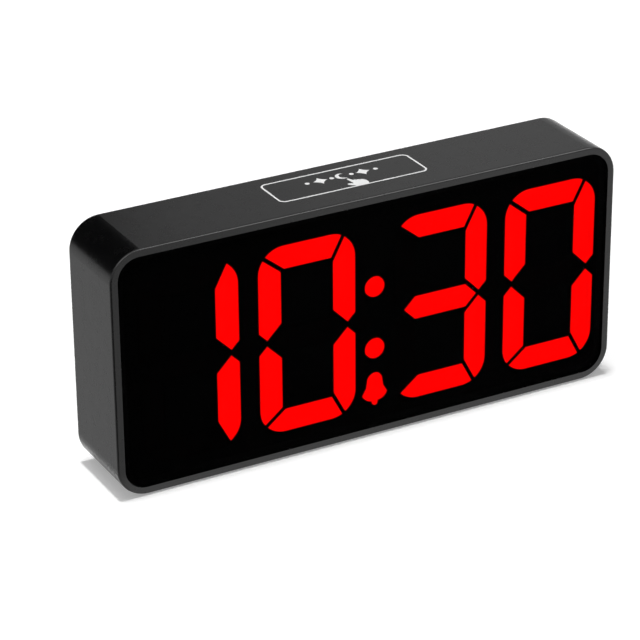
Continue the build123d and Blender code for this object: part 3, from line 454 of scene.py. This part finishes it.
def ink_plate(outline, face, centre=(0, 0), up=ink_up):
    """A filled mark: top and bottom are the outline, the edge joins them."""
    outline = np.asarray(outline) + np.asarray(centre)
    n = len(outline)
    points = np.vstack([on_face(outline, face, -ink_in), on_face(outline, face, up)])
    faces = [list(range(n))[::-1], list(range(n, 2 * n))]
    faces += [[i, (i + 1) % n, n + (i + 1) % n, n + i] for i in range(n)]
    return points, faces


def ink_line(outline, width, face, centre=(0, 0), up=ink_up):
    """A closed line: a flat profile of four corners carried round the outline."""
    outline = np.asarray(outline, float)
    ahead = np.roll(outline, -1, 0) - np.roll(outline, 1, 0)
    ahead /= np.linalg.norm(ahead, axis=1, keepdims=True)
    outward = np.stack([ahead[:, 1], -ahead[:, 0]], 1) * width / 2
    loops = []
    for side, height in ((1, -ink_in), (1, up), (-1, up), (-1, -ink_in)):
        loops.append(on_face(outline + side * outward + np.asarray(centre), face, height))
    points = np.stack(loops, 1).reshape(-1, 3)
    faces = grid_faces(len(outline), 4, wrap_rows=True, wrap_cols=True)
    return points, faces.tolist()


print("points of a star", len(star(1)))

# %% [markdown]
# ## Marks on the top
# A rounded frame says where to touch, a row of moon, stars and dots says what for, and a hand
# points at it. The hand is a list of corners, rounded by cutting them twice.

# %% Marks on the top
zone_w, zone_d, zone_r, zone_line = 64.1, 18.4, 2.6, 0.75
zone_centre = (-0.6, 2.8)
zone = ink_line(rounded_box(zone_w, zone_d, zone_r), zone_line, top_face, zone_centre)
new_piece("snooze_zone_line", *zone, "clock", "plug_white", ink, smooth=False)

row_y = 4.9
row_marks = [(crescent(2.6), (-0.7,)), (star(3.2), (-10.0, 8.6)),
             (circle(0.95), (-15.7, -5.0, 3.6, 14.3))]
night_row = [ink_plate(mark, top_face, (x, row_y)) for mark, places in row_marks for x in places]
new_piece("moon_and_stars", *merged(night_row), "clock", "plug_white", ink, smooth=False)

hand_centre = (2.7, -3.9)
hand_corners = [
    (-3.2, 5.0), (-2.9, 5.6), (-2.3, 5.5), (-2.0, 4.7), (-1.5, 3.2), (-1.0, 3.4), (-0.4, 3.2),
    (-0.1, 2.8), (0.3, 3.1), (0.9, 2.9), (1.2, 2.4), (1.6, 2.6), (2.3, 2.2), (3.1, 1.1),
    (3.2, -0.2), (2.8, -2.6), (-2.6, -2.6), (-3.0, -1.8), (-5.1, -0.2), (-5.3, 0.6),
    (-4.7, 1.3), (-3.6, 0.8), (-2.7, 0.2), (-2.8, 2.0),
]
hand = ink_plate(rounded(hand_corners)[::-1], top_face, hand_centre, ink_up + 2 * ink_step)
new_piece("touch_hand", *hand, "clock", "plug_white", ink, smooth=False)

# %% [markdown]
# ## Marks on the back
# A maker prints small signs beside the controls, so that nobody has to read the manual at night.
# They need no language: a clock face sets the time, a bell the alarm, two chevrons step the hour
# and one the minute, 12/24 picks the kind of display, a sun and a wedge stand for brightness.
# Each sign is a few strokes. A stroke is a path moved half its width to both sides, with its
# corners mitred. Few widths serve all signs, so that they look like one set.

# %% Strokes and arcs
thin_pen, pen, figure_pen, bold_pen = 0.3, 0.36, 0.38, 0.5


def stroke(path, width):
    """Outline of a line: its path moved half a width to each side.

    At a corner the shift is the sum of both sides' normals over one plus their product."""
    path = np.asarray(path, float)
    run = np.diff(path, axis=0)
    normal = np.stack([-run[:, 1], run[:, 0]], 1) / np.linalg.norm(run, axis=1, keepdims=True)
    before = np.vstack([normal[:1], normal])
    after = np.vstack([normal, normal[-1:]])
    lean = 1 + np.sum(before * after, 1, keepdims=True)
    shift = (before + after) / lean * width / 2
    return np.vstack([path - shift, (path + shift)[::-1]])


def arc(radius, start, stop, centre=(0, 0), count=16):
    """Points along part of a circle, between two angles in degrees."""
    a = np.radians(np.linspace(start, stop, count))
    return np.asarray(centre) + radius * np.stack([np.cos(a), np.sin(a)], 1)


def mirrored(half):
    """A closed outline from its right half, given upwards from the middle line."""
    half = np.asarray(half, float)
    return np.vstack([half, (half * [-1, 1])[::-1]])


def printed(shapes, face, centre, up=ink_up):
    """Plates and closed lines of one mark: a line comes with its width, a plate with 0.

    Each shape stands one step above the last."""
    made = []
    for i, (outline, width) in enumerate(shapes):
        top = up + ink_step * i
        if width:
            made.append(ink_line(outline, width, face, centre, top))
        else:
            made.append(ink_plate(outline, face, centre, top))
    return merged(made)


print("stroke of three points", stroke([(0, 0), (1, 0), (1, 1)], pen).round(2).tolist())

# %% [markdown]
# ## Signs
# Every sign is a list of pairs: an outline in millimetres about the sign's middle, and the width
# of its line, or 0 where the outline is filled.

# %% Signs
def digit(figure, x):
    """One of the figures 1, 2, 4 or a slash, 2.6 mm tall, as strokes about x."""
    paths = {
        "1": [[(-0.55, 0.75), (0.05, 1.3), (0.05, -1.3)]],
        "2": [np.vstack([arc(0.72, 165, -35, (0, 0.58)), [(-0.72, -1.1), (0.85, -1.1)]])],
        "4": [[(0.4, -1.3), (0.4, 1.3)], [(0.4, 1.15), (-0.72, -0.5)],
              [(-0.9, -0.5), (0.9, -0.5)]],
        "/": [[(-0.45, -1.4), (0.45, 1.4)]],
    }
    return [(stroke(np.asarray(path) + [x, 0], figure_pen), 0) for path in paths[figure]]


bell_half = np.vstack([
    [(0, -1.45), (1.9, -1.45), (1.9, -1.1), (1.45, -0.6)],
    arc(1.45, 8, 80, (0, 0.35), 10), [(0.3, 2.1), (0, 2.15)]])
clock_sign = [(circle(1.95), 0.42), (stroke([(0, 1.2), (0, 0), (0.85, -0.5)], pen), 0)]
bell_sign = [(mirrored(bell_half), 0), (circle(0.42, 24) + [0, -2.0], 0)]
chevron = np.array([(-1.5, -0.75), (0, 0.75), (1.5, -0.75)])
hour_sign = [(stroke(chevron + [0, 0.8], bold_pen), 0), (stroke(chevron - [0, 0.8], bold_pen), 0)]
minute_sign = [(stroke(chevron, bold_pen), 0)]
figure_pitch = 1.75
mode_sign = sum([digit(f, figure_pitch * (i - 2)) for i, f in enumerate("12/24")], [])
sun_ray = stroke([(1.35, 0), (2.15, 0)], pen)
sun_sign = [(circle(0.85, 32), 0)] + [(turned(sun_ray, 45 * i), 0) for i in range(8)]
wedge_sign = [([(-5, -0.08), (5, -0.75), (5, 0.75), (-5, 0.08)], 0)]
horn = [(-1.9, -0.55), (-1.1, -0.55), (-0.1, -1.45), (-0.1, 1.45), (-1.1, 0.55), (-1.9, 0.55)]
sound_sign = [(horn, 0)] + [(stroke(arc(r, -42, 42, (-0.3, 0)), pen), 0) for r in (1.2, 2.1)]
off_sign = [(circle(0.8, 32), 0.32)]
on_sign = [(stroke([(0, -0.95), (0, 0.95)], pen), 0)]
low_sign = [(np.array(horn) * 0.55 + [0.5, 0], 0)]
high_sign = [(np.array(horn) * 0.85 + [0.2, 0], 0), (stroke(arc(1.3, -42, 42), thin_pen), 0)]
print("strokes of 12/24", len(mode_sign))

# %% [markdown]
# ## Print beside the controls
# One row of signs stands above the controls. A lower row names the ends of both sliders, and the
# wedge under the dimmer shows which way is brighter.

# %% Print beside the controls
upper_row, lower_row, wedge_row = 81, 67.6, 68.6
control_marks = [
    (upper_row, [(clock_sign, 26), (bell_sign, 12), (hour_sign, -2), (minute_sign, -16),
                 (mode_sign, -30), (sun_sign, -53), (bell_sign, 64), (sound_sign, 45)]),
    (lower_row, [(off_sign, 67.5), (on_sign, 60.5), (low_sign, 48.5), (high_sign, 41.5)]),
    (wedge_row, [(wedge_sign, -53)]),
]
marks = [printed(sign, panel_face, (-x, z)) for z, row in control_marks for sign, x in row]
new_piece("control_signs", *merged(marks), "clock", "plug_white", ink, smooth=False)

# %% [markdown]
# ## Print beside the sockets
# Above each socket stands what it gives or takes: direct current for the inlet, a bolt for the
# outlet. Under the inlet, two ringed signs show that its pin is plus and its sleeve minus.

# %% Print beside the sockets
inlet_x, outlet_x = 62, 82
above_sockets, below_sockets = 45.4, 30.4


def bar(start, stop, width):
    """A filled straight stroke between two points."""
    return stroke([start, stop], width), 0


direct_sign = [bar((-1.8, 0.45), (1.8, 0.45), 0.4)]
direct_sign += [bar((x - 0.4, -0.45), (x + 0.4, -0.45), 0.4) for x in (-1.35, 0, 1.35)]
ring_x, ring_r, arm = 4.6, 1.35, 0.7
polarity_sign = [(circle(ring_r) + [side * ring_x, 0], thin_pen) for side in (-1, 1)]
polarity_sign += [
    (stroke(arc(1.45, 48, 312), 0.34), 0), (circle(0.55, 24), 0),
    bar((-ring_x + 1.4, 0), (-1.5, 0), thin_pen), bar((0.4, 0), (ring_x - 1.4, 0), thin_pen),
    bar((-ring_x - arm, 0), (-ring_x + arm, 0), thin_pen),
    bar((ring_x - arm, 0), (ring_x + arm, 0), thin_pen),
    bar((ring_x, -arm), (ring_x, arm), thin_pen),
]
bolt = [(0.5, 2.2), (-1.25, -0.25), (-0.15, -0.25), (-0.5, -2.2), (1.25, 0.4), (0.15, 0.4)]
socket_marks = [
    printed(direct_sign, rear_face, (inlet_x, above_sockets)),
    printed(polarity_sign, rear_face, (inlet_x, below_sockets)),
    printed([(bolt, 0)], rear_face, (outlet_x, above_sockets)),
]
new_piece("socket_signs", *merged(socket_marks), "clock", "plug_white", ink, smooth=False)

# %% [markdown]
# ## Relief in the battery bay and on its door
# The mould itself carries these marks: the outline of each cell with its plus and minus on the
# floor of the bay, turned half round for the second cell, and an arrow on the door.

# %% Relief in the battery bay and on its door
bay_relief_up, arrow_up = 0.2, 0.25
lower_cell_z, upper_cell_z = 20.05, 31.15
cell_outline = [(rounded_box(42.4, 9.4, 1.2), 0.5)]
minus = [bar((-1.2, 0), (1.2, 0), 0.6)]
plus = minus + [bar((0, -1.2), (0, 1.2), 0.6)]
bay_marks = []
for side, z in ((1, lower_cell_z), (-1, upper_cell_z)):
    for shapes, x in ((cell_outline, -side), (minus, 16 * side), (plus, -18 * side)):
        bay_marks.append(printed(shapes, bay_face, (x, z), bay_relief_up))
black = ("housing_black", finish["housing_black"])
new_piece("bay_relief", *merged(bay_marks), "clock", *black, smooth=False)
arrow = [(-2.4, 1.3), (0, -1.5), (2.4, 1.3)]
arrow_plate = ink_plate(arrow, rear_face, (0, 29.0), arrow_up)
new_piece("door_arrow", *arrow_plate, "battery_door", *black, smooth=False)

# %% [markdown]
# ## Black border of the window
# The window is printed black round its back, where it rests on the housing's shelf, so that the
# shelf and the edge of the light block don't show through. It is a matt film, a flat band with
# rounded corners, and it leaves the display alone.

# %% Black border of the window
width, height, corner_r, middle_z = 219.7, 101.6, 12.0, 51.4  # of the housing
rim, lens_gap, border_w = 3.0, 0.1, 2.6
inset = rim + lens_gap + border_w / 2
border = rounded_box(width - 2 * inset, height - 2 * inset, corner_r - inset, 24)
border_band = ink_line(border, border_w, lens_face, (0, middle_z))
new_piece("lens_border", *border_band, "clock", "block_black", finish["block_black"], smooth=False)

# %% [markdown]
# ## Screws
# The case screws sit deep in the back and the board screws inside. A screw is one turned surface:
# a profile gives radius and height from the middle of the head to the tip, and the angle carries
# it round. Two changes make it real. The head sinks where a point is close to either arm of the
# cross, and on the shank the radius rises and falls with a triangle wave of height minus turn,
# which winds one ridge round it.

# %% Screws
head_r, head_h, flat_r, dome_drop = 2.2, 1.7, 1.3, 0.6
shank_r, point_l = 1.25, 1.2


def screw_profile(shank, step=0.1):
    """Rows of (radius, height): flat crown, dome, seat and shank down to a pointed tip."""
    crown = np.linspace(0.04, flat_r, 14)
    head = np.stack([crown, np.full(14, head_h)], 1)
    turn = np.linspace(0, np.pi / 2, 7)[1:]
    dome = np.stack([flat_r + (head_r - flat_r) * np.sin(turn),
                     head_h - dome_drop * (1 - np.cos(turn))], 1)
    seat = [(head_r, 0.08), (2.12, 0.0), (1.3, 0.0)]
    down = np.arange(0, shank - point_l, step)
    body = np.stack([np.full(len(down), shank_r), -down], 1)
    tip = [(0.9, -shank + 0.8), (0.5, -shank + 0.35), (0.06, -shank)]
    return np.vstack([head, dome, seat, body, tip])


def cross_recess(x, z, half=0.3, reach=1.25, deep=0.85, wall=0.08, end=0.35):
    """Depth of the cross at a point: full inside an arm, with a steep wall along its edge."""
    beside = np.minimum(np.abs(x), np.abs(z))
    out = np.maximum(np.abs(x), np.abs(z))
    return deep * np.clip((half - beside) / wall, 0, 1) * np.clip((reach - out) / end, 0, 1)


def screw(x, z, seat_y, tip_y, around=64, pitch=0.9, ridge=0.28, plain=0.3):
    """Points and faces of one screw along Y, with its head away from its tip.

    On the shank, below a plain neck, the radius loses the ridge times a triangle wave of height
    over pitch minus the turn."""
    rows = screw_profile(abs(seat_y - tip_y))
    toward = np.sign(seat_y - tip_y)
    a = np.linspace(0, 2 * np.pi, around, endpoint=False)
    radius = np.repeat(rows[:, :1], around, 1)
    height = np.repeat(rows[:, 1:], around, 1)
    phase = (height / pitch - a * toward / (2 * np.pi)) % 1
    on_shank = (height < -plain) & (radius > shank_r - 0.05)
    radius = radius - on_shank * ridge * np.clip(2 * np.abs(phase - 0.5) * 1.4, 0, 1)
    px, pz = radius * np.cos(a), radius * np.sin(a)
    height = height - (height > head_h - 0.01) * cross_recess(px, pz)
    points = np.stack([x + px, seat_y + toward * height, z + pz], -1).reshape(-1, 3)
    faces = grid_faces(len(rows), around, wrap_cols=True)
    if toward > 0:
        faces = faces[:, ::-1]
    ends = [list(range(around)), list(range(len(points) - around, len(points)))]
    ends[int(toward > 0)].reverse()
    return points, faces.tolist() + ends


def screw_set(node_name, places, seat_y, tip_y):
    """All screws of one kind, which stand for a CAD node."""
    screws = merged([screw(x, z, seat_y, tip_y) for x, z in places])
    piece = new_piece(node_name + "_threaded", *screws, "clock", "screw_steel",
                      finish["screw_steel"])
    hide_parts(node_name)


case_places = [(x, z) for x in (-90, 90) for z in (6.9, 95.9)] + [(-54, 6.9), (54, 6.9)]
screw_set("cover_screws", case_places, seat_y=-2.35, tip_y=-12.25)
board_places = [(-90.35, 86.1), (72.35, 86.1), (72.35, 63.1), (-90.35, 25.5), (-56.35, 25.5)]
screw_set("board_screws", board_places, seat_y=5.4, tip_y=12.7)

# %% [markdown]
# ## Battery springs
# A contact spring is one wire wound into a cone, its wide end pressed flat against the plate and
# its last turn closed so that the cell has a ring to press on. The path is a helix whose advance
# slows down at both ends, and a circle of the wire's size is carried along it.

# %% Battery springs
bay_middle_y = 9.95
wide_r, narrow_r, wire_r = 3.0, 2.1, 0.35
seat_gap, spring_rise, spring_turns = 0.75, 4.2, 4.5


def spring(x, z, toward, per_turn=32, around=12):
    """A wire along a conical helix: the radius shrinks evenly, the advance eases in and out."""
    u = np.linspace(0, 1, int(spring_turns * per_turn) + 1)
    angle = 2 * np.pi * spring_turns * u
    radius = wide_r + (narrow_r - wide_r) * u
    along = seat_gap + spring_rise * u * u * (3 - 2 * u)
    path = np.stack([x + toward * along, bay_middle_y + radius * np.cos(angle),
                     z + radius * np.sin(angle)], 1)
    ahead = np.gradient(path, axis=0)
    ahead /= np.linalg.norm(ahead, axis=1, keepdims=True)
    across = np.stack([0 * angle, np.cos(angle), np.sin(angle)], 1)
    across -= np.sum(across * ahead, 1, keepdims=True) * ahead
    across /= np.linalg.norm(across, axis=1, keepdims=True)
    other = np.cross(ahead, across)
    a = np.linspace(0, 2 * np.pi, around, endpoint=False)
    ring = np.cos(a)[None, :, None] * across[:, None] + np.sin(a)[None, :, None] * other[:, None]
    points = (path[:, None] + wire_r * ring).reshape(-1, 3)
    faces = grid_faces(len(u), around, wrap_cols=True)[:, ::-1].tolist()
    faces += [list(range(around))[::-1], list(range(len(points) - around, len(points)))]
    return points, faces


plate_x = 25.5
springs = merged([spring(-plate_x, lower_cell_z, 1), spring(plate_x, upper_cell_z, -1)])
coils = new_piece("wound_springs", *springs, "clock", "contact_steel", finish["contact_steel"])
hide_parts("battery_springs")

# %% [markdown]
# ## Contacts of the charging outlet
# Four gilt springs lie under the tongue of the outlet. Each is a strip whose height along its
# length is a shallow bow, so that it presses on the plug.

# %% Contacts of the charging outlet
tongue_z, tongue_gap = 37.81, 0.08  # under side of the tongue, and what the strips stay off it
strip_front, strip_l, strip_w, strip_t, strip_bow = 9.0, 6.2, 1.0, 0.12, 0.28


def contact_strip(x, count=20):
    """A thin strip along Y: it hangs under the tongue by a cosine bow near its front end."""
    t = np.linspace(0, 1, count)
    bow = strip_bow * np.cos(np.pi * np.clip((t - 0.6) / 0.8, -0.5, 0.5)) ** 2
    low = tongue_z - tongue_gap - bow
    loops = []
    for side, z in ((-1, low), (1, low), (1, low + strip_t), (-1, low + strip_t)):
        edge = np.full(count, x + side * strip_w / 2)
        loops.append(np.stack([edge, strip_front + strip_l * t, z], 1))
    points = np.stack(loops, 1).reshape(-1, 3)
    faces = grid_faces(count, 4, wrap_cols=True).tolist()
    return points, faces + [[3, 2, 1, 0], list(range(4 * count - 4, 4 * count))]


strips = merged([contact_strip(-outlet_x + dx) for dx in (-3.5, -1.0, 1.0, 3.5)])
new_piece("outlet_contacts", *strips, "clock", "contact_brass", finish["contact_brass"])

# %% [markdown]
# ## Photo table
# The floor is a wide pale sheet and the background is plain white. A background colour for the
# camera, for reflections and for see-through parts comes from Light Path, so that it costs the
# clock no extra light. The main lamp hangs almost straight above the clock, so its shadow stays
# close to the base, and two weak lamps farther to the left soften the shadow's inner edge.

# %% World
def seen_directly(tree):
    """One for rays from the camera, off a mirror or through a clear part, nought for others."""
    path = node(tree, "LightPath").outputs
    near = node(tree, "Math", {0: path["Is Camera Ray"], 1: path["Is Glossy Ray"]},
                operation="MAXIMUM").outputs[0]
    return node(tree, "Math", {0: near, 1: path["Is Transmission Ray"]},
                operation="MAXIMUM").outputs[0]


def white_world(fill, seen):
    """White for the camera, mirrors and glass, a grey fill for everything else."""
    world = bpy.data.worlds.new("studio")
    bpy.context.scene.world = world
    world.use_nodes = True
    tree = world.node_tree
    tree.nodes.clear()
    strength = node(tree, "MapRange", {"Value": seen_directly(tree), "From Min": 0.0,
                                       "From Max": 1.0, "To Min": fill, "To Max": seen})
    back = node(tree, "Background", {"Color": (1, 1, 1, 1), "Strength": strength.outputs[0]})
    node(tree, "OutputWorld", {"Surface": back.outputs[0]})


def floor_finish(lift):
    """Pale matt sheet with a faint tooth, lifted to white for the camera and for mirrors."""
    material, tree, shader = tree_of("pale floor")
    tone = shades(tree, noise(tree, 60, 3), (0.84, 0.84, 0.84), (0.86, 0.86, 0.86))
    glow = node(tree, "Math", {0: seen_directly(tree), 1: lift}, operation="MULTIPLY")
    feed(tree, shader, {"Base Color": tone, "Roughness": 0.9, "Specular IOR Level": 0.0,
                        "Emission Color": (1, 1, 1, 1), "Emission Strength": glow.outputs[0]})
    return material


def flat_sheet(name, corners, material):
    """One four-sided sheet from its corners in metres."""
    mesh = bpy.data.meshes.new(name)
    mesh.from_pydata(corners, [], [[0, 1, 2, 3]])
    mesh.materials.append(material)
    sheet = bpy.data.objects.new(name, mesh)
    bpy.context.scene.collection.objects.link(sheet)
    print("sheet", name)
    return sheet


def level(x0, x1, y0, y1, z):
    """Corners of a sheet that lies level."""
    return [(x0, y0, z), (x1, y0, z), (x1, y1, z), (x0, y1, z)]


white_world(fill=0.16, seen=1.0)
flat_sheet("floor", level(-6, 6, -6, 6, 0), floor_finish(lift=0.28))

# %% [markdown]
# ## Cards
# Glossy black plastic shows what stands round it more than its own colour, so a studio hangs cards
# where it mirrors them. The side mirrors the floor behind on the left, the top what hangs low
# behind, and the narrow front edge a strip high on the right. A dark card at the left keeps the
# front's left edge dark. Only reflections can see the cards, and they cast no shadow.

# %% Cards
def card(name, corners, glow):
    """A sheet that only reflections see: black for no glow, grey or bright for more."""
    material, tree, shader = tree_of(name)
    tone = shades(tree, noise(tree, 50, 2), (0.004, 0.004, 0.004), (0.006, 0.006, 0.006))
    feed(tree, shader, {"Base Color": tone, "Roughness": 1.0, "Specular IOR Level": 0.0,
                        "Emission Color": (1, 1, 1, 1), "Emission Strength": glow})
    sheet = flat_sheet(name, [tuple(float(v) for v in c) for c in corners], material)
    sheet.visible_camera = False
    sheet.visible_diffuse = False
    sheet.visible_transmission = False
    sheet.visible_shadow = False


def curtain(start, stop, low, high=1.7, distance=1.2):
    """Corners of a sheet hung behind the clock between two directions.

    A direction is an angle in degrees from straight behind towards the right-hand side."""
    a = np.radians([start, stop])
    left, right = distance * np.stack([np.sin(a), np.cos(a)], 1)
    return [(*left, low), (*right, low), (*right, high), (*left, high)]


def facing(toward, half_width, half_height, distance=1.5):
    """Corners of a sheet in a direction from the clock, square to it."""
    ahead = np.array(toward, float) / np.linalg.norm(toward)
    right = np.cross([0, 0, 1], ahead)
    right *= half_width / np.linalg.norm(right)
    up = np.cross(ahead, right) * half_height / half_width
    middle = distance * ahead
    return [middle - right - up, middle + right - up, middle + right + up, middle - right + up]


card("black_curtain", curtain(-62, 19, low=0.0), glow=0.0)
card("grey_curtain", curtain(19, 28, low=0.0), glow=0.46)
card("pale_curtain", curtain(28, 68, low=0.12), glow=0.57)
card("grey_card_left", level(-0.7, -0.112, -0.02, 0.8, z=0.0005), glow=0.65)
card("dark_card_left", level(-0.7, -0.115, -0.6, -0.03, z=0.0006), glow=0.2)
card("white_card_front", level(-0.105, 0.12, -0.032, -0.019, z=0.0004), glow=1.75)
card("white_card_right", level(0.06, 0.6, -0.6, -0.032, z=0.0004), glow=1.5)
card("bright_strip", facing((0.43, -0.44, 0.79), half_width=0.6, half_height=0.3), glow=8.0)
card("bright_panel", facing((-0.4, -0.62, 0.68), half_width=0.75, half_height=0.4), glow=4.0)

# %% [markdown]
# ## Lamps
# All three lamps are suns, so their light has one direction and no distance. A wider spread makes
# a softer shadow. Reflections don't see them: the cards take their place there.

# %% Lamps
def sun(name, toward, strength, spread):
    """A sun whose light comes from a direction, with soft shadows from its spread in degrees."""
    data = bpy.data.lights.new(name, "SUN")
    data.energy = strength
    data.angle = np.radians(spread)
    lamp = bpy.data.objects.new(name, data)
    back = np.array(toward, float) / np.linalg.norm(toward)
    right = np.cross([0, 1, 0.01], back)
    right /= np.linalg.norm(right)
    stand(lamp, (right, np.cross(back, right), back))
    lamp.visible_glossy = False
    print("lamp", name, strength)


sun("main_lamp", (-0.03, 0.0, 1.0), strength=2.2, spread=6)
sun("middle_lamp", (-0.25, 0.0, 1.0), strength=0.3, spread=20)
sun("left_lamp", (-0.8, -0.3, 0.6), strength=0.3, spread=40)
